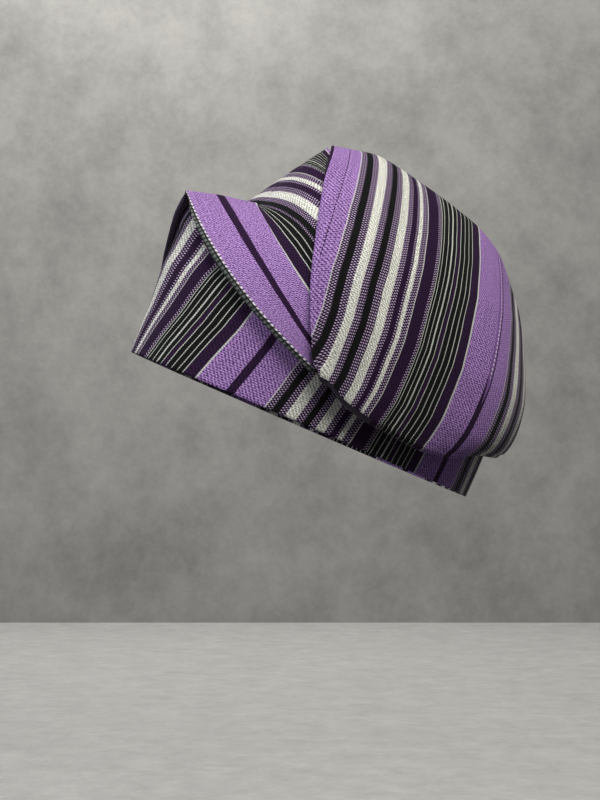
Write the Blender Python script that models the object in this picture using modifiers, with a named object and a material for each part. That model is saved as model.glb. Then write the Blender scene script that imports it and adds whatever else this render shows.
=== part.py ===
"""Folded striped cap, worn: a woven tube whose top is laid over to the wearer's left.

Lengths are in millimetres in the cap's own frame until each sheet is placed: X to the wearer's left,
Y to the back, Z square off the rim, origin at the centre of the head opening.
"""

import bpy
import numpy as np
from mathutils import Matrix, Vector

SCALE = 0.001
CLOTH = 1.6  # thickness of the folded cloth
GAP = 0.3  # left where two sheets meet edge to edge
WEARING_TILT = 23.3  # front of the rim up, about an axis turned from X by the next value
TILT_AXIS = -18.0
BAND_TOP = 44.0  # hidden top edge of the band wherever a fold covers it
BAND_COLUMNS = 90
BAND_ROWS = 5
TUCK_ROWS = 4
CROWN_COLUMNS = 31
TURN_ROWS = 6  # round the crown's turned-under lower edge
RISE_ROWS = 14  # from that edge to the top fold
FLAP_COLUMNS = 22
FLAP_NEAR_ROWS = 12
FLAP_FAR_ROWS = 9

# Plan of the tube at heights off the rim. The front narrows by "point" of the half width.
TUBE = {
    "height": (0.0, 30.0, 60.0, 80.0, 100.0, 120.0, 150.0),
    "half_length": (104.0, 104.5, 104.5, 104.0, 102.0, 97.0, 86.0),
    "half_width": (82.5, 83.5, 82.0, 80.0, 77.0, 72.0, 62.0),
    "centre": (0.0, -0.5, -3.5, -7.0, -9.0, -11.0, -14.0),
    "point": (0.0, 0.04, 0.12, 0.22, 0.30, 0.35, 0.40),
}
RIDGE_FULLNESS = (2.8, 0.52)  # how late and how roundly a rib bends over to the top fold

# Band: angle at the rim, lean of its stripes in degrees per mm, height of the hidden top edge.
BAND = {
    "rim_angle": (-118.0, -100.0, -87.0, -76.5, -56.3, -37.5, -29.0, 3.9, 36.2, 57.0, 191.0, 242.0),
    "lean": (0.30, 0.31, 0.33, 0.33, 0.277, 0.184, 0.16, 0.09, 0.04, 0.0, 0.0, 0.30),
    "top": (87.5, 83.5, 75.5, 66.5, 54.0, 45.5, 44.0, 44.0, 44.0, 44.0, 44.0, 44.0),
}
SEAM_ANGLE = 242.0  # where the two ends of the band meet, the same as -118
TUCK_START = 52.0  # from this height the band goes in under the flap
TUCK_RISE = 20.0
TUCK_DEPTH = 2.6
TUCK_LIP = 2.0  # further in at its hidden top edge
LEAST_TUCK = 3.0  # columns that rise less than this above BAND_TOP have no tucked rows

# Ribs of the crown from the crease to the back: where the turned-under lower edge and the hem behind it lie,
# how far the fold stands off the wall at that edge and bellies out above it, how deep the round under it is,
# how the rib leans as it rises, where it crosses the top fold, and the angle at which it comes down on the far
# side.
CROWN = {
    "edge_angle": (-14.8, -13.0, -5.3, 3.2, 10.8, 21.0, 31.0, 48.5, 84.0),
    "edge_height": (27.7, 27.6, 21.2, 18.2, 16.9, 15.4, 16.8, 25.1, 31.0),
    "hem_shift": (4.0, 3.5, 0.5, 0.0, 0.0, 0.0, 0.0, 0.0, 0.0),
    "lean": (-11.8, 4.0, 5.2, 8.3, 8.8, 9.0, 12.0, 4.0, 4.0),
    "bend": (0.45, 0.8, 0.8, 0.8, 0.8, 0.8, 0.8, 0.9, 1.0),
    "stand_off": (10.5, 10.5, 10.0, 9.5, 9.0, 9.0, 8.8, 8.2, 8.2),
    "belly": (0.0, 0.0, 0.0, 0.0, 0.0, 1.0, 3.0, 6.0, 6.5),
    "turn_drop": (4.5, 4.5, 4.5, 4.5, 4.3, 3.6, 2.8, 2.2, 2.6),
    "top_x": (7.0, 11.0, 12.0, 12.0, 11.0, 9.0, 6.0, 3.0, 0.0),
    "top_y": (-48.5, -23.6, -9.1, 8.2, 28.4, 46.0, 63.7, 86.4, 103.0),
    "top_height": (148.0, 153.2, 151.7, 149.3, 146.2, 142.5, 135.5, 116.1, 102.0),
    "far_angle": (190.9, 176.0, 167.0, 157.0, 146.0, 136.0, 123.0, 107.0, 90.0),
}
FOLD_OPENS = (95.0, 135.0)  # angles on the far side between which the crown's fold opens out
FOLD_SETTLES = (105.0, 165.0)  # and between which it comes back to the wall
FAR_EDGE_RISE = 0.25  # the turned edge climbs by this many mm per degree beyond the back
HEM_BEND = ((0.0, 0.0), (0.2, 1.2), (1.1, 2.1), (2.1, 1.0), (2.7, -6.5))  # off the wall, above its start
BELLY_LOW = 0.6  # the smaller, the lower the belly lies
TURN_INNER = 3.5  # off the wall, where the hem comes down into the turned edge
HIDDEN_SHARE = 0.16  # of a plain rib's height, for the rows that hem and turned edge have elsewhere

# Ribs of the front flap: top fold, pull of the curve, hidden end under the crown, and angle on the far side.
FLAP = {
    "top_x": (0.0, 4.0, 7.0, 8.0, 8.0, 8.0, 8.0, 7.0),
    "top_y": (-112.2, -94.7, -75.6, -73.5, -69.1, -65.4, -62.5, -49.6),
    "top_height": (90.8, 96.0, 100.3, 101.4, 108.2, 119.4, 126.5, 145.2),
    "pull_y": (-91.1, -77.6, -70.7, -63.6, -66.3, -64.5, -63.7, -53.0),
    "pull_height": (50.9, 68.0, 80.6, 104.6, 111.5, 121.7, 128.4, 143.0),
    "end_x": (84.4, 84.0, 80.4, 73.6, 61.0, 47.0, 37.5, 23.5),
    "end_y": (-31.6, -32.1, -37.2, -44.6, -48.5, -50.0, -50.0, -47.0),
    "end_height": (28.8, 35.2, 56.2, 78.9, 99.8, 116.2, 124.3, 134.8),
    "far_angle": (241.6, 231.0, 220.0, 218.0, 211.0, 205.0, 200.0, 191.2),
    "tuck": (0.0, 0.0, 0.3, 2.2, 0.6, 0.0, 0.0, 0.0),
}
FLAP_BULGE = (1.5, 0.9)  # how the flap moves out from the top fold to its hidden end
TUCK_WAY = (0.5, 0.8)  # inwards and down, for each mm of tuck
TUCK_FADE = 0.7
OVER_BAND_ROWS = 2.0  # table rows from the diagonal over which the far side rises to lie over the band's edge
OVER_BAND_RISE = 14.0  # height it takes to do so
ROLL_TURNS = (40.0, 80.0, 120.0, 150.0)  # how far round each added column of a rolled edge lies
ROLL_WIDTH = 2.6  # rolled front edge of the flap
ROLL_DEPTH = 3.8
CREASE_WIDTH = 2.5  # rolled front edge of the crown
CREASE_DEPTH = 3.8
CREASE_START = (12, 3)  # row at which the crease begins to roll, and rows it takes to do so
CREASE_END = 8  # rows below the top fold over which it flattens
DIAGONAL_END = (10, 6)  # row at which the flap's roll has run out, and rows it takes to do so


def smooth_at(values, at):
    """Smooth curve through evenly keyed values that never swings past them."""
    y = np.asarray(values, float)
    step = np.diff(y)
    product = step[:-1] * step[1:]
    slope = np.concatenate([step[:1], np.zeros(len(y) - 2), step[-1:]])
    rising = product > 0
    slope[1:-1][rising] = 2 * product[rising] / (step[:-1] + step[1:])[rising]
    i = np.clip(np.floor(at).astype(int), 0, len(y) - 2)
    t = at - i
    ease = t * t * (3 - 2 * t)
    return y[i] + ease * step[i] + t * (1 - t) ** 2 * slope[i] - t * t * (1 - t) * slope[i + 1]


def read(table, at, smooth=True):
    """All columns of a table at fractional row numbers."""
    keys = np.arange(len(next(iter(table.values()))))
    return {k: smooth_at(v, at) if smooth else np.interp(at, keys, v) for k, v in table.items()}


def wall(angle, height, out=0.0):
    """Point on the tube's wall: angle 0 at the wearer's left, 90 at the back, out = distance off the wall."""
    plan = {k: np.interp(height, TUBE["height"], v) for k, v in TUBE.items()}
    a = np.radians(angle)
    narrowing = 1 - plan["point"] * np.clip(-np.sin(a), 0, 1) ** 2
    x = (plan["half_width"] * narrowing + out) * np.cos(a)
    y = plan["centre"] + (plan["half_length"] + out) * np.sin(a)
    return np.stack(np.broadcast_arrays(x, y, height), -1)


def bent_over(points, s, top):
    """Draws a rib's points in towards the top fold as s goes from 0 to 1."""
    late, round_off = RIDGE_FULLNESS
    over = (1 - (1 - s**late) ** round_off)[:, None]
    return np.concatenate([points[:, :2] * (1 - over) + np.array(top[:2]) * over, points[:, 2:]], 1)


def rolled(points, roll, width, depth, straight):
    """Adds columns ahead of the first that roll under it where roll is 1 and go straight on where it is 0."""
    along = points[1] - points[0]
    along /= np.linalg.norm(along, axis=1)[:, None]
    out = np.cross(along, np.gradient(points[0], axis=0))
    out /= np.linalg.norm(out, axis=1)[:, None]
    extra = []
    for turn in ROLL_TURNS:
        a = np.radians(turn * roll)[:, None]
        ahead = np.sin(a) * width + straight * turn / 180 * (1 - roll[:, None])
        extra.append(points[0] - along * ahead - out * (1 - np.cos(a)) * depth / 2)
    return np.concatenate([np.array(extra[::-1]), points])


def stitched(rows, closed=False):
    """Quads between neighbouring rows of vertex numbers."""
    quads = []
    for low, high in zip(rows, rows[1:]):
        for i in range(0 if closed else 1, len(low)):
            quads.append((low[i - 1], low[i], high[i], high[i - 1]))
    return quads


def band_sheet():
    """Ring round the head. The rows above BAND_TOP belong to the front, which the flap covers."""
    angle = np.linspace(SEAM_ANGLE - 360, SEAM_ANGLE, BAND_COLUMNS + 1)[:-1]
    lean = np.interp(angle, BAND["rim_angle"], BAND["lean"])
    top = np.interp(angle, BAND["rim_angle"], BAND["top"])
    points = [wall(angle + lean * z, z) for z in np.linspace(0, BAND_TOP, BAND_ROWS)]
    tall = np.flatnonzero(top > BAND_TOP + LEAST_TUCK)
    for k in range(1, TUCK_ROWS + 1):
        z = (BAND_TOP + (top - BAND_TOP) * k / TUCK_ROWS)[tall]
        tucked = np.clip((z - TUCK_START) / TUCK_RISE, 0, 1) * TUCK_DEPTH + TUCK_LIP * (k == TUCK_ROWS)
        points.append(wall(angle[tall] + lean[tall] * z, z, -tucked))
    ring = np.arange(BAND_ROWS * BAND_COLUMNS).reshape(BAND_ROWS, -1)
    tuck = ring.size + np.arange(TUCK_ROWS * len(tall)).reshape(TUCK_ROWS, -1)
    quads = stitched(ring, closed=True) + stitched([ring[-1][tall], *tuck])
    return np.concatenate(points), quads


def fade(angle, span):
    """1 before the span of angles, 0 after it, smooth between."""
    t = np.clip((angle - span[0]) / (span[1] - span[0]), 0, 1)
    return 1 - t * t * (3 - 2 * t)


def crown_rib(c, i, angle, lean, foot, hem_shift=0.0, fold=1.0, stand=1.0):
    """Hem, turned edge, outside and top of one rib; fold and stand go to 0 where it is plain wall."""
    hem = np.array(HEM_BEND)
    turn = np.radians(np.linspace(180, 360, TURN_ROWS, endpoint=False))
    s = np.sin(np.linspace(0, np.pi / 2, RISE_ROWS))
    start = BAND_TOP + GAP
    out, tall = c["stand_off"][i], c["top_height"][i]
    round_z = foot + c["turn_drop"][i] * np.sin(turn)
    z_folded = np.concatenate([start + hem[:, 1], round_z, foot + (tall - foot) * s])
    round_under = (TURN_INNER + out) / 2 + (out - TURN_INNER) / 2 * np.cos(turn)
    outside = out + c["belly"][i] * fold * np.sin(np.pi * s**BELLY_LOW)
    off = np.concatenate([hem[:, 0], round_under, outside])
    low = np.linspace(0, HIDDEN_SHARE, len(hem) + len(turn), endpoint=False)
    share = np.concatenate([low, HIDDEN_SHARE + (1 - HIDDEN_SHARE) * s])
    z_plain = start + (tall - start) * share
    z = z_folded * fold + z_plain * (1 - fold)
    rise = np.concatenate([np.zeros(len(low)), s])
    shift = np.concatenate([np.full(len(hem), hem_shift), np.linspace(hem_shift, 0, len(turn)), 0 * s])
    p = wall(angle + shift + lean * rise ** c["bend"][i], z, off * stand)
    return bent_over(p, rise * fold + share * (1 - fold), (c["top_x"][i], c["top_y"][i]))


def crown_sheet():
    """Columns run from the crease to the back, then along the far side to the front seam."""
    c = read(CROWN, np.linspace(0, len(CROWN["top_y"]) - 1, CROWN_COLUMNS))
    near = []
    for i in range(CROWN_COLUMNS):
        near.append(crown_rib(c, i, c["edge_angle"][i], c["lean"][i], c["edge_height"][i], c["hem_shift"][i]))
    near = np.array(near)
    row = np.arange(near.shape[1])
    begins, takes = CREASE_START
    crease_roll = np.clip((row - begins) / takes, 0, 1) * np.clip((row[-1] - row) / CREASE_END, 0, 1)
    near = rolled(near, crease_roll, CREASE_WIDTH, CREASE_DEPTH, 1.0)
    far = []
    for i in range(CROWN_COLUMNS - 2, -1, -1):
        angle = c["far_angle"][i]
        foot = CROWN["edge_height"][-1] + FAR_EDGE_RISE * (angle - 90)
        far.append(crown_rib(c, i, angle, 0.0, foot, 0.0, fade(angle, FOLD_OPENS), fade(angle, FOLD_SETTLES)))
    rows = near.shape[1]
    points, quads = grid(near)
    points = list(points)
    before = [(len(near) - 1) * rows + j for j in range(rows)]
    for k, rib in enumerate(far):
        ridge = (len(near) - 2 - k) * rows + rows - 1
        column = list(range(len(points), len(points) + rows - 1)) + [ridge]
        points.extend(rib[:-1])
        for j in range(rows - 1):
            quads.append((before[j], column[j], column[j + 1], before[j + 1]))
        before = column
    return points, quads


def flap_sheet():
    """Columns run from the rolled diagonal edge to the notch, rows from the hidden end over to the far side."""
    at = np.linspace(0, len(FLAP["top_y"]) - 1, FLAP_COLUMNS)
    f = read(FLAP, at, smooth=False)
    s = 1 - np.cos(np.linspace(0, np.pi / 2, FLAP_NEAR_ROWS + 1))[:, None]
    up = np.sin(np.linspace(0, np.pi / 2, FLAP_FAR_ROWS))
    early, fullness = FLAP_BULGE
    inwards, down = TUCK_WAY
    start = BAND_TOP + GAP
    columns = []
    for i in range(FLAP_COLUMNS):
        top, pull, end = (np.array([f[k + "_y"][i], f[k + "_height"][i]]) for k in ("top", "pull", "end"))
        plane = (1 - s) ** 2 * top + 2 * s * (1 - s) * pull + s**2 * end
        x = f["top_x"][i] + (f["end_x"][i] - f["top_x"][i]) * (1 - (1 - s) ** early) ** fullness
        tuck = np.array([inwards, 0.0, down]) * f["tuck"][i]
        near_rib = np.concatenate([x, plane], 1) - tuck * (1 - s) ** TUCK_FADE
        lean = np.interp(f["far_angle"][i], BAND["rim_angle"], BAND["lean"])
        tall = f["top_height"][i] - tuck[2]
        z = start + (tall - start) * up
        over_band = max(0.0, 1 - at[i] / OVER_BAND_ROWS) * np.clip((z - start) / OVER_BAND_RISE, 0, 1)
        far_rib = wall(f["far_angle"][i] + lean * z, z, -CLOTH * (1 - over_band))
        far_rib = bent_over(far_rib, up, near_rib[0])
        columns.append(np.concatenate([near_rib[:0:-1], far_rib[::-1]]))
    sheet = np.array(columns)
    ends, takes = DIAGONAL_END
    roll = np.clip((ends - np.arange(sheet.shape[1])) / takes, 0, 1)
    return rolled(sheet, roll, ROLL_WIDTH, ROLL_DEPTH, 0.5)


def grid(points, flip=False):
    """Flat vertex list and quads of a full grid of columns and rows."""
    n, m = points.shape[:2]
    quads = []
    for i in range(n - 1):
        for j in range(m - 1):
            q = (i * m + j, (i + 1) * m + j, (i + 1) * m + j + 1, i * m + j + 1)
            quads.append(q[::-1] if flip else q)
    return points.reshape(-1, 3), quads


def sheet_object(name, points, quads, colour):
    """Outer face of a sheet given the cloth's thickness on its inner side."""
    mesh = bpy.data.meshes.new(name)
    mesh.from_pydata([tuple(p) for p in points], [], quads)
    mesh.update()
    obj = bpy.data.objects.new(name, mesh)
    cap.objects.link(obj)
    mesh.transform(Matrix.Scale(SCALE, 4))
    axis = Vector((np.cos(np.radians(TILT_AXIS)), np.sin(np.radians(TILT_AXIS)), 0.0))
    mesh.transform(Matrix.Rotation(np.radians(-WEARING_TILT), 4, axis))
    cloth = obj.modifiers.new("Cloth", "SOLIDIFY")
    cloth.thickness = CLOTH * SCALE
    cloth.offset = -1.0
    cloth.use_even_offset = True
    cloth.thickness_clamp = 0.0
    material = bpy.data.materials.new(name)
    material.use_nodes = True
    shader = material.node_tree.nodes["Principled BSDF"]
    shader.inputs["Base Color"].default_value = (*colour, 1.0)
    shader.inputs["Roughness"].default_value = 0.9
    mesh.materials.append(material)
    return obj


for leftover in list(bpy.data.objects):
    bpy.data.objects.remove(leftover, do_unlink=True)
cap = bpy.data.collections.new("folded_cap")
bpy.context.scene.collection.children.link(cap)

sheet_object("band", *band_sheet(), (0.10, 0.05, 0.14))
sheet_object("crown", *crown_sheet(), (0.55, 0.38, 0.75))
sheet_object("front_flap", *grid(flap_sheet(), flip=True), (0.60, 0.42, 0.80))
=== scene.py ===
"""A folded cap of striped strip-woven cloth, as worn: a tall tube, its top laid over to the left."""

import bpy
import numpy as np
from mathutils import Matrix, Vector, noise


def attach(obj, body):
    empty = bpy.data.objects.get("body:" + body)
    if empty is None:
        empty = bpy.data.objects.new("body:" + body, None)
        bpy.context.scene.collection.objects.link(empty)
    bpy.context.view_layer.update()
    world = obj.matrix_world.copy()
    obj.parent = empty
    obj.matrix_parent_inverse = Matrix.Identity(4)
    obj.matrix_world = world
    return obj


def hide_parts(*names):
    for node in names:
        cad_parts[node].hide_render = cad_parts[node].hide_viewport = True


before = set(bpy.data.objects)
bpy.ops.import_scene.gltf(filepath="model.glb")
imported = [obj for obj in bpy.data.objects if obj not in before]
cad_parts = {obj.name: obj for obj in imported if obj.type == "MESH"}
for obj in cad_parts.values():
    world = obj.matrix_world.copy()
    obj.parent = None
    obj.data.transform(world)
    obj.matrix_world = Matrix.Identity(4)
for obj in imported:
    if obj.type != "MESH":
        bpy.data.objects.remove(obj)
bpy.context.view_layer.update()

# The band is the lower part of the tube, which goes round the head. It is strip-woven cotton: narrow warp
# stripes that climb the cap, crossed by a fine dark weft. Its rim is turned in, and its front goes up under
# the folded flap. Lengths are in millimetres in the cap's own frame: X left, Y back, Z square off the rim.
CLOTH = 1.6  # thickness
GAP = 0.3  # left where two sheets meet edge to edge
RIPPLE = 0.35  # height of the soft ripples of the cloth
RIPPLE_LENGTHS = (31.0, 13.0)  # a long ripple and a short one of half its height
RIPPLE_SHIFT = 7.0  # keeps the short one from following the long one
WEARING_TILT = 23.3  # front of the rim up, about an axis turned from X by the next value
TILT_AXIS = -18.0
METRES = 0.001  # to a millimetre
BAND_TOP = 44.0
TUBE = {  # its wall by height; the last row is the share by which it narrows towards the front
    "height": (0.0, 30.0, 60.0, 80.0, 100.0, 120.0, 150.0),
    "half_length": (104.0, 104.5, 104.5, 104.0, 102.0, 97.0, 86.0),
    "half_width": (82.5, 83.5, 82.0, 80.0, 77.0, 72.0, 62.0),
    "centre": (0.0, -0.5, -3.5, -7.0, -9.0, -11.0, -14.0),
    "point": (0.0, 0.04, 0.12, 0.22, 0.30, 0.35, 0.40),
}
BAND = {  # lean is in degrees along the rim for each millimetre of height
    "rim_angle": (-118.0, -100.0, -87.0, -76.5, -56.3, -37.5, -29.0, 3.9, 36.2, 57.0, 191.0, 242.0),
    "lean": (0.30, 0.31, 0.33, 0.33, 0.277, 0.184, 0.16, 0.09, 0.04, 0.0, 0.0, 0.30),
    "top": (87.5, 83.5, 75.5, 66.5, 54.0, 45.5, 44.0, 44.0, 44.0, 44.0, 44.0, 44.0),
}
SEAM_ANGLE = 242.0  # the seam of the tube, on the far side of the front
TUCK_START = 52.0  # from this height the band goes in under the flap
TUCK_RISE = 20.0  # height it takes to reach the full depth
TUCK_DEPTH = 2.6
TUCK_LIP = 2.0  # its edge goes in a little more, over the last quarter
TUCK_LIP_SHARE = 0.25
LEAST_TUCK = 3.0  # a front less tall than this over the band has no tuck
# Where each stripe meets the rim: angle, and distance along the cloth from the middle of the narrow dark
# stripe. On the far side they are placed to meet the stripes that come over the top fold.
STRIPE_ANGLE = (
    -118.0, -100.0, -95.6, -87.0, -76.5, -56.3, -50.2, -37.5, -26.1, -17.8, -8.6, -2.1, 3.9,
    6.5, 21.6, 25.9, 36.2, 46.4, 57.0, 90.0, 107.0, 123.0, 136.0, 146.0, 157.0, 167.0,
    176.0, 190.9, 191.2, 200.0, 205.0, 211.0, 217.9, 218.1, 220.0, 231.0, 237.0, 242.0,
)
STRIPE_PLACE = (
    -95.5, -80.5, -76.7, -69.0, -53.0, -26.6, -19.2, 0.0, 20.0, 34.2, 50.7, 63.0, 72.4,
    78.0, 105.4, 112.8, 132.0, 152.0, 166.0, 212.0, 166.0, 132.0, 113.0, 92.0, 73.0, 51.0,
    34.2, 2.5, -15.0, -59.6, -69.0, -81.3, -92.0, -168.0, -151.2, -132.0, -104.4, -101.0,
)
STRIPE_BOW = 3.5  # at the front the stripes climb in a shallow bow, this far at its middle
BOW_ANGLES = (-118.0, -92.0)  # it dies out between these
BOW_HEIGHT = 88.0  # from end to end of the bow
BAND_COLUMNS = 600
BAND_ROWS = 31
TUCK_ROWS = 28


def wall(angle, height, out=0.0):
    """Point on the tube's wall, or out from it: angle 0 is at the wearer's left, 90 at the back."""
    plan = {k: np.interp(height, TUBE["height"], v) for k, v in TUBE.items()}
    a = np.radians(angle)
    narrowing = 1 - plan["point"] * np.clip(-np.sin(a), 0, 1) ** 2
    x = (plan["half_width"] * narrowing + out) * np.cos(a)
    y = plan["centre"] + (plan["half_length"] + out) * np.sin(a)
    return np.stack(np.broadcast_arrays(x, y, height), -1)


def between(left, right, left_cloth, right_cloth):
    """Quads between two neighbouring columns of vertex numbers, and their corners' cloth coordinates."""
    quads = np.stack([left[:-1], right[:-1], right[1:], left[1:]], 1)
    cloth = np.stack([left_cloth[:-1], right_cloth[:-1], right_cloth[1:], left_cloth[1:]], 1)
    return quads, cloth


def woven_sheet(name, points, parts, materials):
    """Outer face of a sheet, rippled like cloth, given its thickness on the inner side and put in place."""
    quads = np.concatenate([part[0] for part in parts])
    cloth = np.concatenate([part[1] for part in parts])
    finish = np.concatenate([np.broadcast_to(part[2], len(part[0])) for part in parts])
    mesh = bpy.data.meshes.new(name)
    mesh.from_pydata(np.asarray(points).tolist(), [], quads.tolist())
    mesh.update()
    layer = mesh.uv_layers.new(name="Cloth")
    layer.data.foreach_set("uv", cloth.reshape(-1))
    mesh.polygons.foreach_set("material_index", finish.astype(np.int32))
    normals = np.zeros(len(mesh.vertices) * 3)
    mesh.vertices.foreach_get("normal", normals)
    points = np.asarray(points)
    long, short = RIPPLE_LENGTHS
    ripples = [
        noise.noise(Vector(p / long)) + 0.5 * noise.noise(Vector(p / short + RIPPLE_SHIFT)) for p in points
    ]
    points = points + normals.reshape(-1, 3) * np.array(ripples)[:, None] * RIPPLE
    mesh.vertices.foreach_set("co", points.reshape(-1))
    for material in materials:
        mesh.materials.append(material)
    mesh.shade_smooth()
    piece = bpy.data.objects.new(name, mesh)
    bpy.context.scene.collection.objects.link(piece)
    thickness = piece.modifiers.new("Cloth", "SOLIDIFY")
    thickness.thickness = CLOTH
    thickness.offset = -1.0
    thickness.material_offset_rim = 1  # the cut edges show the hem cotton
    bpy.context.view_layer.objects.active = piece
    bpy.ops.object.modifier_apply(modifier="Cloth")
    axis = Vector((np.cos(np.radians(TILT_AXIS)), np.sin(np.radians(TILT_AXIS)), 0.0))
    mesh = piece.data
    mesh.transform(Matrix.Rotation(np.radians(-WEARING_TILT), 4, axis) @ Matrix.Scale(METRES, 4))
    return piece


def linear(hex_colour):
    """sRGB hex to a linear colour, by the sRGB curve."""
    parts = [int(hex_colour[i : i + 2], 16) / 255 for i in (1, 3, 5)]
    return [*(p / 12.92 if p <= 0.04045 else ((p + 0.055) / 1.055) ** 2.4 for p in parts), 1.0]


def add_node(tree, kind, inputs=None, **settings):
    """A node with its settings; an input is a value, a socket, or a node whose first output feeds it."""
    node = tree.nodes.new("ShaderNode" + kind)
    for key, value in settings.items():
        setattr(node, key, value)
    for key, value in (inputs or {}).items():
        if isinstance(value, bpy.types.Node):
            value = value.outputs[0]
        if isinstance(value, bpy.types.NodeSocket):
            tree.links.new(value, node.inputs[key])
        else:
            node.inputs[key].default_value = value
    return node


# Strip-woven cotton: the warp is dyed in stripes, and the weft shows between its threads as specks, ribs
# and checks, on a matt surface with hardly a sheen. Each stripe has the colour of its ground, that of its
# raised threads, and whether they alternate to make a check. Places are in millimetres of one repeat.
REPEAT = 132.0
YARNS = {  # ground, raised threads, and 1 for a check
    "lilac": ("#432660", "#C198DA", 0.0),
    "plum": ("#110416", "#33183F", 0.0),
    "black": ("#040406", "#101112", 0.0),
    "cream": ("#989B8E", "#FFFFF6", 0.0),
    "check": ("#180A20", "#D4BBDF", 1.0),
}
STRIPES = (
    (0.0, "plum"), (2.2, "lilac"), (20.2, "check"), (24.2, "black"), (27.8, "check"), (31.4, "cream"),
    (37.0, "check"), (40.8, "black"), (44.4, "check"), (48.0, "cream"), (53.4, "check"), (57.0, "plum"),
    (60.2, "check"), (61.6, "cream"), (64.4, "check"), (68.2, "plum"), (76.6, "check"), (78.4, "black"),
    (92.3, "plum"), (95.2, "black"), (105.4, "plum"), (112.8, "lilac"), (129.8, "plum"),
)
# Single white threads: where each starts, how wide it is and how far apart its floats are.
LINE_PLACES = (19.7, 67.7, 79.0, 81.1, 84.6, 88.1, 91.6, 95.1, 98.6, 102.1, 105.2, 112.4)
LINE_WIDTH = 0.65
LINE_PITCH = 1.3
LINE_COLOUR = "#DDE2D6"
FLOAT_SHADE = (0.35, 0.55)  # a float covers by the sum of these, and the dip between two by the second
RIB_PITCH = 1.2  # weft ribs; the real ones are about 0.7, drawn as coarse as they need to be to show
TWILL_PITCH = 2.2
SPECK = 0.85  # likewise coarser than the real specks
RIB_SHARE = 0.6  # how much each of the three adds to the raised threads
TWILL_SHARE = 0.7
SPECK_SHARE = 2.5
RAISED_LEVEL = -1.37  # with this, about half of the cloth is raised
CHECK_ACROSS = 1.27  # dots of the check, in three staggered columns to a stripe
CHECK_ALONG = 1.55
CHECK_EDGE = 5.0  # how crisp the dots are
CHECK_LEVEL = -0.03  # the lower, the smaller the dots
WANDER_LENGTH = 12.5  # over about this length the edges of the stripes wander
WANDER = 0.25  # by up to this
STREAK = (0.9, 0.03, 0.0)  # streaks of the dye for each millimetre across and along
STREAK_SHADE = (0.86, 1.10)  # darkest and palest
NOISE_MIDDLE = (0.3, 0.7)  # most of a Noise texture lies between these
THREAD_RELIEF = 0.0003  # metres
RAISED_RELIEF = 0.6  # of the raised threads, as a share of that of the white ones
STITCH_PITCH = 2.6
# Scale at which the bands of a straight Wave texture are one unit apart; a diagonal one needs twice that.
WAVE = np.pi / 10
# Rows of stitching on the folded top: place, half width, height at which it starts, height it takes to
# reach that width, how much of each stitch is left out, colour. The second is lilac that thins out the dark
# stripe towards the top, to the line of the third, and the last is the white stitches beside it.
STITCHES = (
    (12.8, 0.3, 62.0, 1.0, 0.3, "#20122B"),
    (132.0, 2.3, 32.0, 22.0, -1.0, "#80599B"),
    (133.7, 0.4, 32.0, 1.0, -1.0, "#20122B"),
    (131.8, 0.42, 46.0, 6.0, 0.35, "#DDD0E0"),
)


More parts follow.
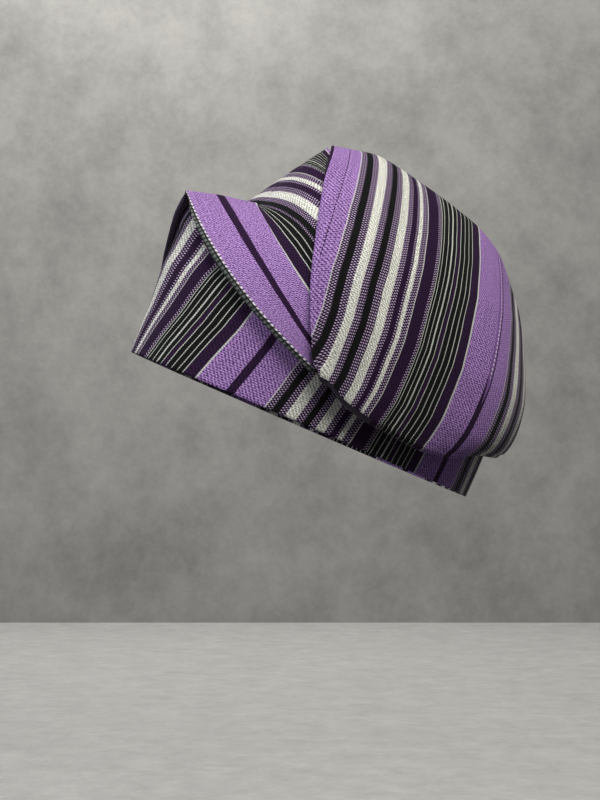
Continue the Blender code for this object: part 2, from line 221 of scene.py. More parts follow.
def strip_woven_cotton():
    material = bpy.data.materials.new("strip_woven_cotton")
    material.use_nodes = True
    tree = material.node_tree
    shader = tree.nodes["Principled BSDF"]
    cloth = add_node(tree, "UVMap", uv_map="Cloth")
    axes = add_node(tree, "SeparateXYZ", {"Vector": cloth})
    along = axes.outputs["Y"]
    wander = {"Vector": cloth, "Scale": 1 / WANDER_LENGTH, "Detail": 1.0}
    wander = add_node(tree, "TexNoise", wander, noise_dimensions="2D")
    wander = add_node(tree, "MapRange", {"Value": wander, "To Min": -WANDER, "To Max": WANDER})
    across = add_node(tree, "Math", {0: axes, 1: wander})
    turns = add_node(tree, "Math", {0: across, 1: REPEAT}, operation="DIVIDE")
    place = add_node(tree, "Math", {0: turns}, operation="FRACT")

    # Stripes across the cloth. The weave ramp holds whether a stripe is checked and where it starts.
    off, on = (0.0, 0.0, 0.0, 1.0), (1.0, 1.0, 1.0, 1.0)
    lines = [stop for at in LINE_PLACES for stop in ((at, on), (at + LINE_WIDTH, off))]
    stops = {
        "ground": [(at, linear(YARNS[yarn][0])) for at, yarn in STRIPES],
        "raised": [(at, linear(YARNS[yarn][1])) for at, yarn in STRIPES],
        "weave": [(at, (YARNS[yarn][2], at / REPEAT, 0.0, 1.0)) for at, yarn in STRIPES],
        "line": [(0.0, off), *lines],
    }
    bands = {}
    for name, steps in stops.items():
        bands[name] = add_node(tree, "ValToRGB", {"Fac": place})
        bands[name].color_ramp.interpolation = "CONSTANT"
        elements = bands[name].color_ramp.elements
        elements[0].color = steps[0][1]
        for at, colour in steps[1:]:
            elements.new(at / REPEAT).color = colour
    weave = add_node(tree, "SeparateColor", {"Color": bands["weave"]})

    # The check: pale dots where raised threads change over from row to row.
    inside = add_node(tree, "Math", {0: place, 1: weave.outputs["Green"]}, operation="SUBTRACT")
    inside = add_node(tree, "CombineXYZ", {"X": inside})
    dots = {"Vector": inside, "Scale": WAVE / 2 * REPEAT / CHECK_ACROSS, "Phase Offset": np.pi / 2}
    column = add_node(tree, "TexWave", dots, bands_direction="X")
    row = add_node(tree, "TexWave", {"Vector": cloth, "Scale": WAVE / CHECK_ALONG}, bands_direction="Y")
    column = add_node(tree, "Math", {0: column, 1: 0.5}, operation="SUBTRACT")
    row = add_node(tree, "Math", {0: row, 1: 0.5}, operation="SUBTRACT")
    check = add_node(tree, "Math", {0: column, 1: row}, operation="MULTIPLY")
    crisp = {0: check, 1: CHECK_EDGE, 2: CHECK_LEVEL}
    check = add_node(tree, "Math", crisp, operation="MULTIPLY_ADD", use_clamp=True)

    # The plain stripes: weft ribs, a slight twill, and specks where the weft comes up.
    grain = {"Vector": cloth, "Scale": 1 / SPECK, "Detail": 1.5}
    specks = add_node(tree, "TexNoise", grain, noise_dimensions="2D")
    rib = add_node(tree, "TexWave", {"Vector": cloth, "Scale": WAVE / RIB_PITCH}, bands_direction="Y")
    slant = {"Vector": cloth, "Scale": 2 * WAVE / TWILL_PITCH}
    twill = add_node(tree, "TexWave", slant, bands_direction="DIAGONAL")
    fine = add_node(tree, "Math", {0: rib, 1: RIB_SHARE, 2: RAISED_LEVEL}, operation="MULTIPLY_ADD")
    fine = add_node(tree, "Math", {0: twill, 1: TWILL_SHARE, 2: fine}, operation="MULTIPLY_ADD")
    speckled = {0: specks, 1: SPECK_SHARE, 2: fine}
    fine = add_node(tree, "Math", speckled, operation="MULTIPLY_ADD", use_clamp=True)
    raised = add_node(tree, "MixRGB", {"Fac": weave, "Color1": fine, "Color2": check})
    colour = add_node(tree, "MixRGB", {"Fac": raised, "Color1": bands["ground"], "Color2": bands["raised"]})

    # White warp lines, and the rows of stitching.
    floats = add_node(tree, "TexWave", {"Vector": cloth, "Scale": WAVE / LINE_PITCH}, bands_direction="Y")
    covering = {0: floats, 1: FLOAT_SHADE[0], 2: FLOAT_SHADE[1]}
    floats = add_node(tree, "Math", covering, operation="MULTIPLY_ADD")
    line = add_node(tree, "Math", {0: bands["line"], 1: floats}, operation="MULTIPLY")
    colour = add_node(tree, "MixRGB", {"Fac": line, "Color1": colour, "Color2": linear(LINE_COLOUR)})
    stitch = add_node(tree, "TexWave", {"Vector": cloth, "Scale": WAVE / STITCH_PITCH}, bands_direction="Y")
    for at, half_width, start, growth, left_out, thread_colour in STITCHES:
        grown = {"Value": along, "From Min": start, "From Max": start + growth, "To Max": half_width}
        width = add_node(tree, "MapRange", grown)
        beside = add_node(tree, "Math", {0: across, 1: at, 2: width}, operation="COMPARE")
        shown = add_node(tree, "Math", {0: stitch, 1: left_out}, operation="GREATER_THAN")
        shown = add_node(tree, "Math", {0: shown, 1: beside}, operation="MULTIPLY")
        colour = add_node(tree, "MixRGB", {"Fac": shown, "Color1": colour, "Color2": linear(thread_colour)})

    # Threads take the dye unevenly, which streaks the cloth along its stripes.
    drawn_out = add_node(tree, "VectorMath", {0: cloth, 1: STREAK}, operation="MULTIPLY")
    uneven = {"Vector": drawn_out, "Scale": 1.0, "Detail": 2.0}
    uneven = add_node(tree, "TexNoise", uneven, noise_dimensions="2D")
    (low, high), (deep, pale) = NOISE_MIDDLE, STREAK_SHADE
    dyed = {"Value": uneven, "From Min": low, "From Max": high, "To Min": deep, "To Max": pale}
    dyed = add_node(tree, "MapRange", dyed)
    colour = add_node(tree, "VectorMath", {0: colour, "Scale": dyed}, operation="SCALE")
    tree.links.new(colour.outputs[0], shader.inputs["Base Color"])
    height = add_node(tree, "Math", {0: raised, 1: RAISED_RELIEF, 2: line}, operation="MULTIPLY_ADD")
    bump = add_node(tree, "Bump", {"Height": height, "Strength": 0.7, "Distance": THREAD_RELIEF})
    tree.links.new(bump.outputs[0], shader.inputs["Normal"])
    shader.inputs["Roughness"].default_value = 0.88
    shader.inputs["IOR"].default_value = 1.46
    shader.inputs["Specular IOR Level"].default_value = 0.15
    shader.inputs["Sheen Weight"].default_value = 0.04
    shader.inputs["Sheen Roughness"].default_value = 0.5
    return material


# Plain-woven plum cotton shows at the turned edges; on the front of the crown's turned edge its dark colour
# is painted shade under the overhang. It is dark and dull, a little paler where a thread rides up over
# another.
HEM_AND_SHADE_GROUND = "#150B1C"
HEM_AND_SHADE_RAISED = "#3D2C4A"
HEM_THREAD = 1.0  # thread spacing; the real one is about 0.5, drawn as coarse as it needs to be to show


def hem_and_painted_shade():
    material = bpy.data.materials.new("plum_hem_and_painted_shade")
    material.use_nodes = True
    tree = material.node_tree
    shader = tree.nodes["Principled BSDF"]
    cloth = add_node(tree, "UVMap", uv_map="Cloth")
    threads = {"Vector": cloth, "Scale": WAVE / HEM_THREAD, "Distortion": 0.6}
    warp = add_node(tree, "TexWave", threads, bands_direction="X")
    weft = add_node(tree, "TexWave", threads, bands_direction="Y")
    raised = add_node(tree, "Math", {0: warp, 1: weft}, operation="MULTIPLY")
    mix = {"Fac": raised, "Color1": linear(HEM_AND_SHADE_GROUND), "Color2": linear(HEM_AND_SHADE_RAISED)}
    colour = add_node(tree, "MixRGB", mix)
    tree.links.new(colour.outputs[0], shader.inputs["Base Color"])
    bump = add_node(tree, "Bump", {"Height": raised, "Strength": 0.6, "Distance": THREAD_RELIEF})
    tree.links.new(bump.outputs[0], shader.inputs["Normal"])
    shader.inputs["Roughness"].default_value = 0.9
    return material


cloths_used = [strip_woven_cotton(), hem_and_painted_shade()]
COTTON, HEM_AND_PAINTED_SHADE = 0, 1  # their places in this list

# The stripes have one value more than the columns: the last column's cloth ends where the first starts.
angle = np.linspace(SEAM_ANGLE - 360, SEAM_ANGLE, BAND_COLUMNS + 1)
stripe = np.interp(angle, STRIPE_ANGLE, STRIPE_PLACE)
bow = STRIPE_BOW * np.interp(angle, BOW_ANGLES, (1.0, 0.0))
angle = angle[:-1]
lean = np.interp(angle, BAND["rim_angle"], BAND["lean"])
top = np.interp(angle, BAND["rim_angle"], BAND["top"])
ring_heights = np.linspace(0, BAND_TOP, BAND_ROWS)
points = [wall(angle + lean * z, z) for z in ring_heights]
tall = np.flatnonzero(top > BAND_TOP + LEAST_TUCK)
for share in np.arange(1, TUCK_ROWS + 1) / TUCK_ROWS:
    z = BAND_TOP + (top - BAND_TOP) * share
    tucked = np.clip((z - TUCK_START) / TUCK_RISE, 0, 1) * TUCK_DEPTH
    tucked += TUCK_LIP * max(0.0, 1 - (1 - share) / TUCK_LIP_SHARE)
    points.append(wall(angle + lean * z, z, -tucked)[tall])
ring = np.arange(BAND_ROWS * BAND_COLUMNS).reshape(BAND_ROWS, -1)
tuck = ring.size + np.arange(TUCK_ROWS * len(tall)).reshape(TUCK_ROWS, -1)


def band_cloth(i, z):
    """Cloth coordinates of a column of the band at heights z."""
    return np.stack([stripe[i] + bow[i] * np.sin(np.pi * z / BOW_HEIGHT), z], 1)


parts = []
for i in range(BAND_COLUMNS):
    cloth = [band_cloth(k, ring_heights) for k in (i, i + 1)]
    parts.append((*between(ring[:, i], ring[:, (i + 1) % BAND_COLUMNS], *cloth), COTTON))
for n, i in enumerate(tall[:-1]):
    columns = [np.concatenate([[ring[-1, i + k]], tuck[:, n + k]]) for k in (0, 1)]
    tuck_heights = [np.linspace(BAND_TOP, top[i + k], TUCK_ROWS + 1) for k in (0, 1)]
    cloth = [band_cloth(i + k, tuck_heights[k]) for k in (0, 1)]
    parts.append((*between(*columns, *cloth), COTTON))
band = woven_sheet("cap_band", np.concatenate(points), parts, cloths_used)
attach(band, "root")
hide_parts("band")

# The crown is the upper part of the same tube, laid over to the wearer's left. It hangs over the band with
# its lower edge turned under, starts at a rolled crease behind the flap, goes over the top fold and comes
# down the far side as plain wall, where a hairline joint stands for the strip seam.
CROWN_COLUMNS = 177
HEM_ROWS = 9  # rows of points: the short hem inside, the turned edge, and the outside up to the top fold
TURN_ROWS = 16
RISE_ROWS = 84
RIDGE_FULLNESS = (2.8, 0.52)  # how late and how roundly a rib bends over to the top fold
CROWN = {  # a value for each main rib, from the crease to the middle of the back
    "edge_angle": (-14.8, -13.0, -5.3, 3.2, 10.8, 21.0, 31.0, 48.5, 84.0),
    "edge_height": (27.7, 27.6, 21.2, 18.2, 16.9, 15.4, 16.8, 25.1, 31.0),
    "hem_shift": (4.0, 3.5, 0.5, 0.0, 0.0, 0.0, 0.0, 0.0, 0.0),
    "lean": (-11.8, 4.0, 5.2, 8.3, 8.8, 9.0, 12.0, 4.0, 4.0),
    "bend": (0.45, 0.8, 0.8, 0.8, 0.8, 0.8, 0.8, 0.9, 1.0),
    "stand_off": (10.5, 10.5, 10.0, 9.5, 9.0, 9.0, 8.8, 8.2, 8.2),
    "belly": (0.0, 0.0, 0.0, 0.0, 0.0, 1.0, 3.0, 6.0, 6.5),
    "turn_drop": (4.5, 4.5, 4.5, 4.5, 4.3, 3.6, 2.8, 2.2, 2.6),
    "top_x": (7.0, 11.0, 12.0, 12.0, 11.0, 9.0, 6.0, 3.0, 0.0),
    "top_y": (-48.5, -23.6, -9.1, 8.2, 28.4, 46.0, 63.7, 86.4, 99.0),
    "top_height": (148.0, 153.2, 151.7, 149.3, 146.2, 142.5, 135.5, 116.1, 102.0),
    "far_angle": (190.9, 176.0, 167.0, 157.0, 146.0, 136.0, 123.0, 107.0, 90.0),
    "stripe": (31.0, 34.2, 51.0, 73.0, 92.0, 113.0, 132.0, 166.0, 212.0),
}
CREASE_RISE = (0.0, 0.035, 0.14, 0.25, 0.5, 1.0)  # share of the climb
CREASE_STRIPE = (31.6, 28.2, 20.4, 17.0, 10.5, 2.5)  # the crease crosses the first stripes as it climbs
FOLD_OPENS = (95.0, 135.0)  # angles between which the fold opens into plain wall on the far side
FOLD_SETTLES = (105.0, 165.0)  # and between which the cloth comes down on to the wall
FAR_EDGE_RISE = 0.25  # of the folded edge, for each degree past the middle of the back
BELLY_LOW = 0.6  # the smaller, the lower the belly lies
HEM_OFF = (0.0, 0.2, 1.1, 2.1, 2.7)  # the hem's distance off the wall, and its height over the band
HEM_UP = (0.0, 1.2, 2.1, 1.0, -6.5)
TURN_INNER = 3.5  # how far off the wall the turned edge starts
HIDDEN_SHARE = 0.16  # of the plain wall's height for the rows that are hem and turned edge in the fold
PAINTED_SHADE_ROWS = HEM_ROWS + 14  # the turned edge is dark hem cotton, as painted shade, up to this row
PAINTED_SHADE_END = 72.0  # as far back as this stripe
CREASE_WIDTH = 2.5
CREASE_DEPTH = 3.8
CREASE_TURNS = np.linspace(0, 150, 9)[1:]  # degrees rolled round, a column each
CREASE_FLAT = 1.0  # how far it runs straight on where it isn't rolled
CREASE_ROLLS = (1 / 13, 4 / 13)  # shares of the way up between which the crease rolls up
CREASE_EASES = (5 / 13, 1.0)  # and between which it eases out again


def smooth_at(values, at):
    """Smooth curve through evenly keyed values that never swings past them."""
    values = np.asarray(values, float)
    step = np.diff(values)
    product = step[:-1] * step[1:]
    slope = np.concatenate([step[:1], np.zeros(len(values) - 2), step[-1:]])
    no_peak = product > 0
    slope[1:-1][no_peak] = 2 * product[no_peak] / (step[:-1] + step[1:])[no_peak]
    i = np.clip(np.floor(at).astype(int), 0, len(values) - 2)
    t = at - i
    ease = t * t * (3 - 2 * t)
    return values[i] + ease * step[i] + t * (1 - t) ** 2 * slope[i] - t * t * (1 - t) * slope[i + 1]


def read(table, at, smooth=True):
    """All columns of a table at fractional row numbers."""
    keys = np.arange(len(next(iter(table.values()))))
    return {k: smooth_at(v, at) if smooth else np.interp(at, keys, v) for k, v in table.items()}


def along_rows(column):
    """Length of cloth from the first point of a column to each of its points."""
    steps = np.linalg.norm(np.diff(column, axis=0), axis=1)
    return np.concatenate([[0.0], np.cumsum(steps)])


def bent_over(points, rise, top):
    """Draws a rib's points in towards the top fold as rise goes from 0 to 1."""
    late, round_off = RIDGE_FULLNESS
    over = (1 - (1 - rise**late) ** round_off)[:, None]
    return np.concatenate([points[:, :2] * (1 - over) + np.array(top[:2]) * over, points[:, 2:]], 1)


def rolled(points, roll, width, depth, flat, turns):
    """Columns ahead of the first that roll under it where roll is 1 and go straight on where it is 0."""
    along = points[1] - points[0]
    along /= np.linalg.norm(along, axis=1)[:, None]
    out = np.cross(along, np.gradient(points[0], axis=0))
    out /= np.linalg.norm(out, axis=1)[:, None]
    extra = []
    for turn in turns:
        a = np.radians(turn * roll)[:, None]
        ahead = np.sin(a) * width + flat * turn / 180 * (1 - roll[:, None])
        extra.append(points[0] - along * ahead - out * (1 - np.cos(a)) * depth / 2)
    return np.concatenate([np.array(extra[::-1]), points])


def fade(angle, span):
    """1 before the span of angles, 0 after it, smooth between."""
    t = np.clip((angle - span[0]) / (span[1] - span[0]), 0, 1)
    return 1 - t * t * (3 - 2 * t)


def crown_rib(i, angle, lean, foot, hem_shift=0.0, fold=1.0, stand=1.0):
    """Hem, turned edge, outside and top of one rib; fold and stand go to 0 where it is plain wall."""
    hem = np.linspace(0, len(HEM_OFF) - 1, HEM_ROWS)
    turn = np.radians(np.linspace(180, 360, TURN_ROWS, endpoint=False))
    climb = np.sin(np.linspace(0, np.pi / 2, RISE_ROWS))
    start = BAND_TOP + GAP
    off, tall = crown_ribs["stand_off"][i], crown_ribs["top_height"][i]
    hem_z = start + smooth_at(HEM_UP, hem)
    turn_z = foot + crown_ribs["turn_drop"][i] * np.sin(turn)
    folded_z = np.concatenate([hem_z, turn_z, foot + (tall - foot) * climb])
    turn_off = (TURN_INNER + off) / 2 + (off - TURN_INNER) / 2 * np.cos(turn)
    outside = off + crown_ribs["belly"][i] * fold * np.sin(np.pi * climb**BELLY_LOW)
    out = np.concatenate([smooth_at(HEM_OFF, hem), turn_off, outside])
    hidden = np.linspace(0, HIDDEN_SHARE, HEM_ROWS + TURN_ROWS, endpoint=False)
    share = np.concatenate([hidden, HIDDEN_SHARE + (1 - HIDDEN_SHARE) * climb])
    plain_z = start + (tall - start) * share
    z = folded_z * fold + plain_z * (1 - fold)
    rise = np.concatenate([np.zeros(len(hidden)), climb])
    shift = [np.full(HEM_ROWS, hem_shift), np.linspace(hem_shift, 0, TURN_ROWS), np.zeros(RISE_ROWS)]
    turned = angle + np.concatenate(shift) + lean * rise ** crown_ribs["bend"][i]
    rib = wall(turned, z, out * stand)
    top = crown_ribs["top_x"][i], crown_ribs["top_y"][i]
    return bent_over(rib, rise * fold + share * (1 - fold), top)


table_rows = np.linspace(0, len(CROWN["top_y"]) - 1, CROWN_COLUMNS)
crown_ribs = read(CROWN, table_rows)
crown_ribs["stripe"] = np.interp(table_rows, np.arange(len(CROWN["stripe"])), CROWN["stripe"])
near = []
for i in range(CROWN_COLUMNS):
    edge = [crown_ribs[name][i] for name in ("edge_angle", "lean", "edge_height", "hem_shift")]
    near.append(crown_rib(i, *edge))
near = np.array(near)
first_rise = HEM_ROWS + TURN_ROWS
way_up = (np.arange(near.shape[1]) - first_rise) / (RISE_ROWS - 1)
crease_roll = np.interp(way_up, CREASE_ROLLS, (0, 1)) * np.interp(way_up, CREASE_EASES, (1, 0))
near = rolled(near, crease_roll, CREASE_WIDTH, CREASE_DEPTH, CREASE_FLAT, CREASE_TURNS)
extra = len(CREASE_TURNS)
rise = np.sin(np.clip(way_up, 0, 1) * np.pi / 2)
crease_stripe = np.interp(rise, CREASE_RISE, CREASE_STRIPE)
rows = near.shape[1]
points = list(near.reshape(-1, 3))
number = np.arange(len(points)).reshape(-1, rows)

# The stripes run along the ribs, except from the crease to the table's second row, where they fan out.
second = int(np.searchsorted(table_rows, 1.0))
steps = np.linalg.norm(np.diff(near[extra : extra + second + 1], axis=0), axis=2)
from_crease = np.concatenate([np.zeros((1, rows)), np.cumsum(steps, axis=0)])
cloths = []
for i, column in enumerate(near):
    length = along_rows(column)
    k = max(i - extra, 0)
    nearness = 1 - from_crease[min(k, second)] / from_crease[-1]
    place = crease_stripe * nearness + max(CROWN["stripe"][1], crown_ribs["stripe"][k]) * (1 - nearness)
    place = place - np.linalg.norm(column - near[extra], axis=1) * (i < extra)
    cloths.append(np.stack([place, length - length[first_rise]], 1))
parts = []
for i in range(len(near) - 1):
    # Painted shade: the front of the turned edge, under the overhang, gets the dark hem cotton.
    plum = (np.arange(rows - 1) < PAINTED_SHADE_ROWS) & (cloths[i][-1, 0] < PAINTED_SHADE_END)
    quads, cloth = between(number[i], number[i + 1], cloths[i], cloths[i + 1])
    parts.append((quads, cloth, np.where(plum, HEM_AND_PAINTED_SHADE, COTTON)))

# The far side goes on from the last near rib, and each far rib shares its top point with a near one.
before, before_cloth = number[-1], cloths[-1]
for i in range(CROWN_COLUMNS - 2, -1, -1):
    far_angle = crown_ribs["far_angle"][i]
    foot = CROWN["edge_height"][-1] + FAR_EDGE_RISE * (far_angle - 90)
    fold, stand = fade(far_angle, FOLD_OPENS), fade(far_angle, FOLD_SETTLES)
    rib = crown_rib(i, far_angle, lean=0.0, foot=foot, fold=fold, stand=stand)
    column = np.concatenate([np.arange(len(points), len(points) + rows - 1), [number[extra + i, -1]]])
    points.extend(rib[:-1])
    length = along_rows(rib)
    place = np.full(rows, cloths[extra + i][-1, 0])
    column_cloth = np.stack([place, length - length[first_rise]], 1)
    parts.append((*between(before, column, before_cloth, column_cloth), COTTON))
    before, before_cloth = column, column_cloth
crown = woven_sheet("cap_crown", points, parts, cloths_used)
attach(crown, "root")
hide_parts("crown")

# The front flap is the front of the tube. It comes up from the rim on the far side, turns over the top fold
# and lies down across the near side, with its dark selvage rolled along the diagonal edge and a tuck at the
# valley beside the crown.
FLAP_STEPS = 22  # columns for each main rib
FLAP_NEAR_ROWS = 64
FLAP_FAR_ROWS = 40
FLAP = {  # a value for each main rib, which goes from the top fold to its end, drawn to the pull point
    "top_x": (0.0, 4.0, 7.0, 8.0, 8.0, 8.0, 8.0, 7.0),
    "top_y": (-112.2, -94.7, -75.6, -73.5, -69.1, -65.4, -62.5, -49.6),
    "top_height": (90.8, 96.0, 100.3, 101.4, 108.2, 119.4, 126.5, 145.2),
    "pull_y": (-91.1, -77.6, -70.7, -63.6, -66.3, -64.5, -63.7, -53.0),
    "pull_height": (50.9, 68.0, 80.6, 104.6, 111.5, 121.7, 128.4, 143.0),
    "end_x": (84.4, 84.0, 80.4, 73.6, 61.0, 47.0, 37.5, 23.5),
    "end_y": (-31.6, -32.1, -37.2, -44.6, -48.5, -50.0, -50.0, -47.0),
    "end_height": (28.8, 35.2, 56.2, 78.9, 99.8, 116.2, 124.3, 134.8),
    "far_angle": (241.6, 231.0, 220.0, 218.0, 211.0, 205.0, 200.0, 191.2),
    "tuck": (0.0, 0.0, 0.3, 2.2, 0.6, 0.0, 0.0, 0.0),
}
TUCK_RIB = 3  # main rib at the tuck, where the cloth between two stripes is hidden
STRIPE_BELOW = (-112.0, -132.0, -151.2, -168.0)  # stripes of the main ribs, up to the tuck
STRIPE_ABOVE = (-92.0, -81.3, -69.0, -59.6, -15.0)  # and from it
FAR_RIBS = (0.0, 0.43, 1.0, 2.0, 3.0)  # ribs of the next values, at the top of the far side
STRIPE_FAR = (-101.0, -104.4, -132.0, -151.2, -168.0)
FLAP_BULGE = (1.5, 0.9)  # how early and how fully a rib swells out from the top fold
TUCK_WAY = (0.5, 0.8)  # shares of the tuck that go inwards and down
TUCK_FADE = 0.7  # how it dies out down the rib
OVER_BAND_RIBS = 2.0  # as far as this many ribs from the diagonal, the far side lies over the band's edge
OVER_BAND_RISE = 14.0  # height it takes to do so
ROLL_WIDTH = 1.4  # the selvage rolls up tighter than the plain edge it stands for
ROLL_DEPTH = 3.8
ROLL_TURNS = np.linspace(0, 150, 11)[1:]
ROLL_FLAT = 0.5
ROLL_STARTS = (1 / 6, 2 / 3)  # shares of the way down from the top fold between which it rolls up

spans = len(FLAP["top_y"]) - 1
rib_number = np.linspace(0, spans, spans * FLAP_STEPS + 1)
flap_ribs = read(FLAP, rib_number, smooth=False)
way_down = np.linspace(0, 1, FLAP_NEAR_ROWS + 1)
bend = 1 - np.cos(way_down * np.pi / 2)[:, None]
climb = np.sin(np.linspace(0, np.pi / 2, FLAP_FAR_ROWS))
early, fullness = FLAP_BULGE
inwards, down = TUCK_WAY
start = BAND_TOP + GAP
columns = []
for i in range(len(rib_number)):
    top, pull, end = (
        np.array([flap_ribs[k + "_y"][i], flap_ribs[k + "_height"][i]]) for k in ("top", "pull", "end")
    )
    plane = (1 - bend) ** 2 * top + 2 * bend * (1 - bend) * pull + bend**2 * end
    swell = (1 - (1 - bend) ** early) ** fullness
    x = flap_ribs["top_x"][i] + (flap_ribs["end_x"][i] - flap_ribs["top_x"][i]) * swell
    tuck = np.array([inwards, 0.0, down]) * flap_ribs["tuck"][i]
    near_rib = np.concatenate([x, plane], 1) - tuck * (1 - bend) ** TUCK_FADE
    lean = np.interp(flap_ribs["far_angle"][i], BAND["rim_angle"], BAND["lean"])
    z = start + (flap_ribs["top_height"][i] - tuck[2] - start) * climb
    over_band = np.clip((z - start) / OVER_BAND_RISE, 0, 1) * max(0.0, 1 - rib_number[i] / OVER_BAND_RIBS)
    far_rib = wall(flap_ribs["far_angle"][i] + lean * z, z, -CLOTH * (1 - over_band))
    far_rib = bent_over(far_rib, climb, near_rib[0])
    columns.append(np.concatenate([near_rib[:0:-1], far_rib[::-1]]))
sheet = np.array(columns)
roll = np.interp(np.concatenate([way_down[:0:-1], np.zeros(FLAP_FAR_ROWS)]), ROLL_STARTS, (0, 1))
sheet = rolled(sheet, roll, ROLL_WIDTH, ROLL_DEPTH, ROLL_FLAT, ROLL_TURNS)
extra = len(ROLL_TURNS)
number = np.arange(sheet.shape[0] * sheet.shape[1]).reshape(sheet.shape[:2])


def flap_cloth(i, above, far, rows):
    """Cloth coordinates of a column of the flap, above or below its tuck, on the near or the far side."""
    k = max(i - extra, 0)
    length = along_rows(sheet[i])
    length = length[FLAP_NEAR_ROWS] - length
    if above:
        place = np.interp(rib_number[k], TUCK_RIB + np.arange(len(STRIPE_ABOVE)), STRIPE_ABOVE)
    elif far:
        place = np.interp(rib_number[k], FAR_RIBS, STRIPE_FAR)
    else:
        place = np.interp(rib_number[k], np.arange(len(STRIPE_BELOW)), STRIPE_BELOW)
    rolled_under = np.linalg.norm(sheet[i] - sheet[extra], axis=1) * (i < extra)
    return np.stack([place + rolled_under, length], 1)[rows]


SELVAGE_CORD = len(cloths_used)  # its place, after the other two
parts = []
for i in range(len(sheet) - 1):
    above = i >= extra + TUCK_RIB * FLAP_STEPS
    sides = ((False, slice(0, FLAP_NEAR_ROWS + 1)), (True, slice(FLAP_NEAR_ROWS, sheet.shape[1])))
    for far, rows in sides:
        left_cloth, right_cloth = (flap_cloth(k, above, far, rows) for k in (i, i + 1))
        quads, cloth = between(number[i][rows], number[i + 1][rows], left_cloth, right_cloth)
        finish = SELVAGE_CORD if i < extra and not far else COTTON
        parts.append((quads[:, ::-1], cloth[:, ::-1], finish))


# The selvage is rolled under along the diagonal: a row of white floats, then black warp with one dull cord,
# whose thick wefts show as uneven grey-green beads. Bands are in millimetres from the flap's edge.
SELVAGE = ((0.0, "#E6DFE8"), (0.4, "#0F1111"), (0.8, "#737C74"), (1.8, "#0F1111"))
SELVAGE_WIDTH = 8.0
BEAD_PITCH = 3.0
BEAD_SHADE = (1.2, 0.05)  # as the floats of the white lines
BEAD_GAP = "#0F1111"
BEAD_RELIEF = 0.0005  # metres


def selvage():
    material = bpy.data.materials.new("rolled_selvage")
    material.use_nodes = True
    tree = material.node_tree
    shader = tree.nodes["Principled BSDF"]
    cloth = add_node(tree, "UVMap", uv_map="Cloth")
    axes = add_node(tree, "SeparateXYZ", {"Vector": cloth})
    from_edge = add_node(tree, "Math", {0: axes, 1: STRIPE_BELOW[0]}, operation="SUBTRACT")
    share = add_node(tree, "Math", {0: from_edge, 1: SELVAGE_WIDTH}, operation="DIVIDE")
    bands = add_node(tree, "ValToRGB", {"Fac": share})
    bands.color_ramp.interpolation = "CONSTANT"
    bands.color_ramp.elements[0].color = linear(SELVAGE[0][1])
    for place, colour in SELVAGE[1:]:
        bands.color_ramp.elements.new(place / SELVAGE_WIDTH).color = linear(colour)
    bands.color_ramp.elements[-1].color = linear(SELVAGE[-1][1])
    uneven = {"Vector": cloth, "Scale": 2 * WAVE / BEAD_PITCH, "Distortion": 2.5, "Detail Scale": 1.5}
    beads = add_node(tree, "TexWave", uneven, bands_direction="DIAGONAL")
    covering = {0: beads, 1: BEAD_SHADE[0], 2: BEAD_SHADE[1]}
    beads = add_node(tree, "Math", covering, operation="MULTIPLY_ADD", use_clamp=True)
    colour = add_node(tree, "MixRGB", {"Fac": beads, "Color1": linear(BEAD_GAP), "Color2": bands})
    tree.links.new(colour.outputs[0], shader.inputs["Base Color"])
    bump = add_node(tree, "Bump", {"Height": beads, "Strength": 0.8, "Distance": BEAD_RELIEF})
    tree.links.new(bump.outputs[0], shader.inputs["Normal"])
    shader.inputs["Roughness"].default_value = 0.9
    return material


flap = woven_sheet("cap_flap", sheet.reshape(-1, 3), parts, [*cloths_used, selvage()])
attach(flap, "root")
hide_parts("front_flap")

# A plain pale floor and wall, far enough behind that their join lies as low as in the photograph. They are
# matt grey plaster, rubbed smooth, so they are faintly cloudy and have no gloss. From here on, in metres.
VIEW_ANGLE = np.radians(18.0)  # camera forward of square on to the wearer's left
CAMERA_DISTANCE = 1.1
CAMERA_HEIGHT = -0.012
FLOOR_HEIGHT = -0.30
WALL_DISTANCE = 3.2  # from the camera
STAGE_WIDTH = 12.0
FLOOR_LENGTH = 9.0
WALL_HEIGHT = 6.0
FLOOR_PLASTER = ("#C4C3BF", 0.14, 28.0)  # colour, how cloudy, and clouds to the metre
WALL_PLASTER = ("#A3A19C", 0.26, 6.0)
toward = Vector((np.cos(VIEW_ANGLE), -np.sin(VIEW_ANGLE), 0.0))
right = Vector((np.sin(VIEW_ANGLE), np.cos(VIEW_ANGLE), 0.0))
up = Vector((0.0, 0.0, 1.0))


def matt_plaster(colour, cloudy, fineness):
    material = bpy.data.materials.new("matt_plaster")
    material.use_nodes = True
    tree = material.node_tree
    shader = tree.nodes["Principled BSDF"]
    at = add_node(tree, "TexCoord").outputs["Object"]
    clouds = {"Vector": at, "Scale": fineness, "Detail": 6.0, "Roughness": 0.8}
    clouds = add_node(tree, "TexNoise", clouds)
    low, high = NOISE_MIDDLE
    shade = {"Value": clouds, "From Min": low, "From Max": high, "To Min": 1 - cloudy, "To Max": 1 + cloudy}
    shade = add_node(tree, "MapRange", shade)
    tint = add_node(tree, "VectorMath", {0: linear(colour)[:3], "Scale": shade}, operation="SCALE")
    tree.links.new(tint.outputs[0], shader.inputs["Base Color"])
    shader.inputs["Roughness"].default_value = 0.95
    return material


def stage_plane(name, corner, first, second, plaster):
    mesh = bpy.data.meshes.new(name)
    corners = [corner, corner + first, corner + first + second, corner + second]
    mesh.from_pydata([tuple(p) for p in corners], [], [(0, 1, 2, 3)])
    mesh.materials.append(matt_plaster(*plaster))
    plane = bpy.data.objects.new(name, mesh)
    bpy.context.scene.collection.objects.link(plane)
    return plane


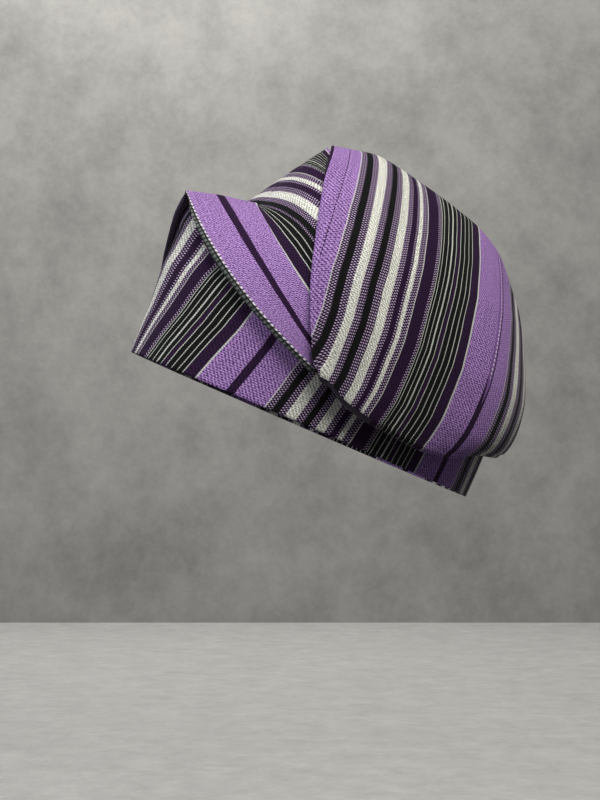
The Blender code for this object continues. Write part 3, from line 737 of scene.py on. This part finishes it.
wall_foot = toward * (CAMERA_DISTANCE - WALL_DISTANCE) + up * FLOOR_HEIGHT
corner = wall_foot - right * STAGE_WIDTH / 2
floor = stage_plane("floor", corner, right * STAGE_WIDTH, toward * FLOOR_LENGTH, FLOOR_PLASTER)
floor.visible_diffuse = False  # it throws no light up, so the undersides are as dark as in the photograph
stage_plane("backdrop", corner, right * STAGE_WIDTH, up * WALL_HEIGHT, WALL_PLASTER)


# Soft studio light: a large source high on the wearer's face side, a weak one opposite, one that brightens
# the wall on the face side, and a dim pale room.
def soft_light(name, place, aim, size, power, colour):
    lamp = bpy.data.lights.new(name, "AREA")
    lamp.shape = "SQUARE"
    lamp.size = size
    lamp.energy = power
    lamp.color = linear(colour)[:3]
    holder = bpy.data.objects.new(name, lamp)
    bpy.context.scene.collection.objects.link(holder)
    holder.location = place
    holder.rotation_euler = (aim - place).to_track_quat("-Z", "Y").to_euler()


cap_middle = up * 0.06
wall_top = wall_foot - right * 0.15 + up * 1.05
key_place = toward * 0.9 + right * 0.45 + up * 1.5
fill_place = toward * 0.5 - right * 1.5 + up * 0.6
wall_light_place = wall_top + toward * 0.7 - right * 0.15 + up * 0.7
soft_light("key", key_place, cap_middle, size=0.9, power=34.0, colour="#FFFCF8")
soft_light("fill", fill_place, cap_middle, size=0.8, power=14.0, colour="#F8F8FF")
soft_light("wall_light", wall_light_place, wall_top, size=0.5, power=17.0, colour="#FFFFFF")
room = bpy.data.worlds.new("room")
bpy.context.scene.world = room
room.use_nodes = True
room.node_tree.nodes["Background"].inputs["Color"].default_value = linear("#D9DADC")
room.node_tree.nodes["Background"].inputs["Strength"].default_value = 0.12

# The camera looks level at the wearer's left side, a little from the front. Its level is below the middle
# of the picture, so the lens is shifted up by as much, as a share of the picture's width.
IMAGE_WIDTH, IMAGE_HEIGHT = 600, 800
LEVEL_ROW = 446.4  # row of the picture that is level with the camera
lens = bpy.data.cameras.new("camera")
lens.sensor_fit = "HORIZONTAL"
lens.sensor_width = 36.0
lens.lens = 117.5
lens.shift_y = (LEVEL_ROW - IMAGE_HEIGHT / 2) / IMAGE_WIDTH
camera = bpy.data.objects.new("camera", lens)
bpy.context.scene.collection.objects.link(camera)
camera.location = toward * CAMERA_DISTANCE + up * CAMERA_HEIGHT
camera.rotation_euler = (-toward).to_track_quat("-Z", "Y").to_euler()
bpy.context.scene.camera = camera
bpy.context.scene.view_settings.view_transform = "Standard"
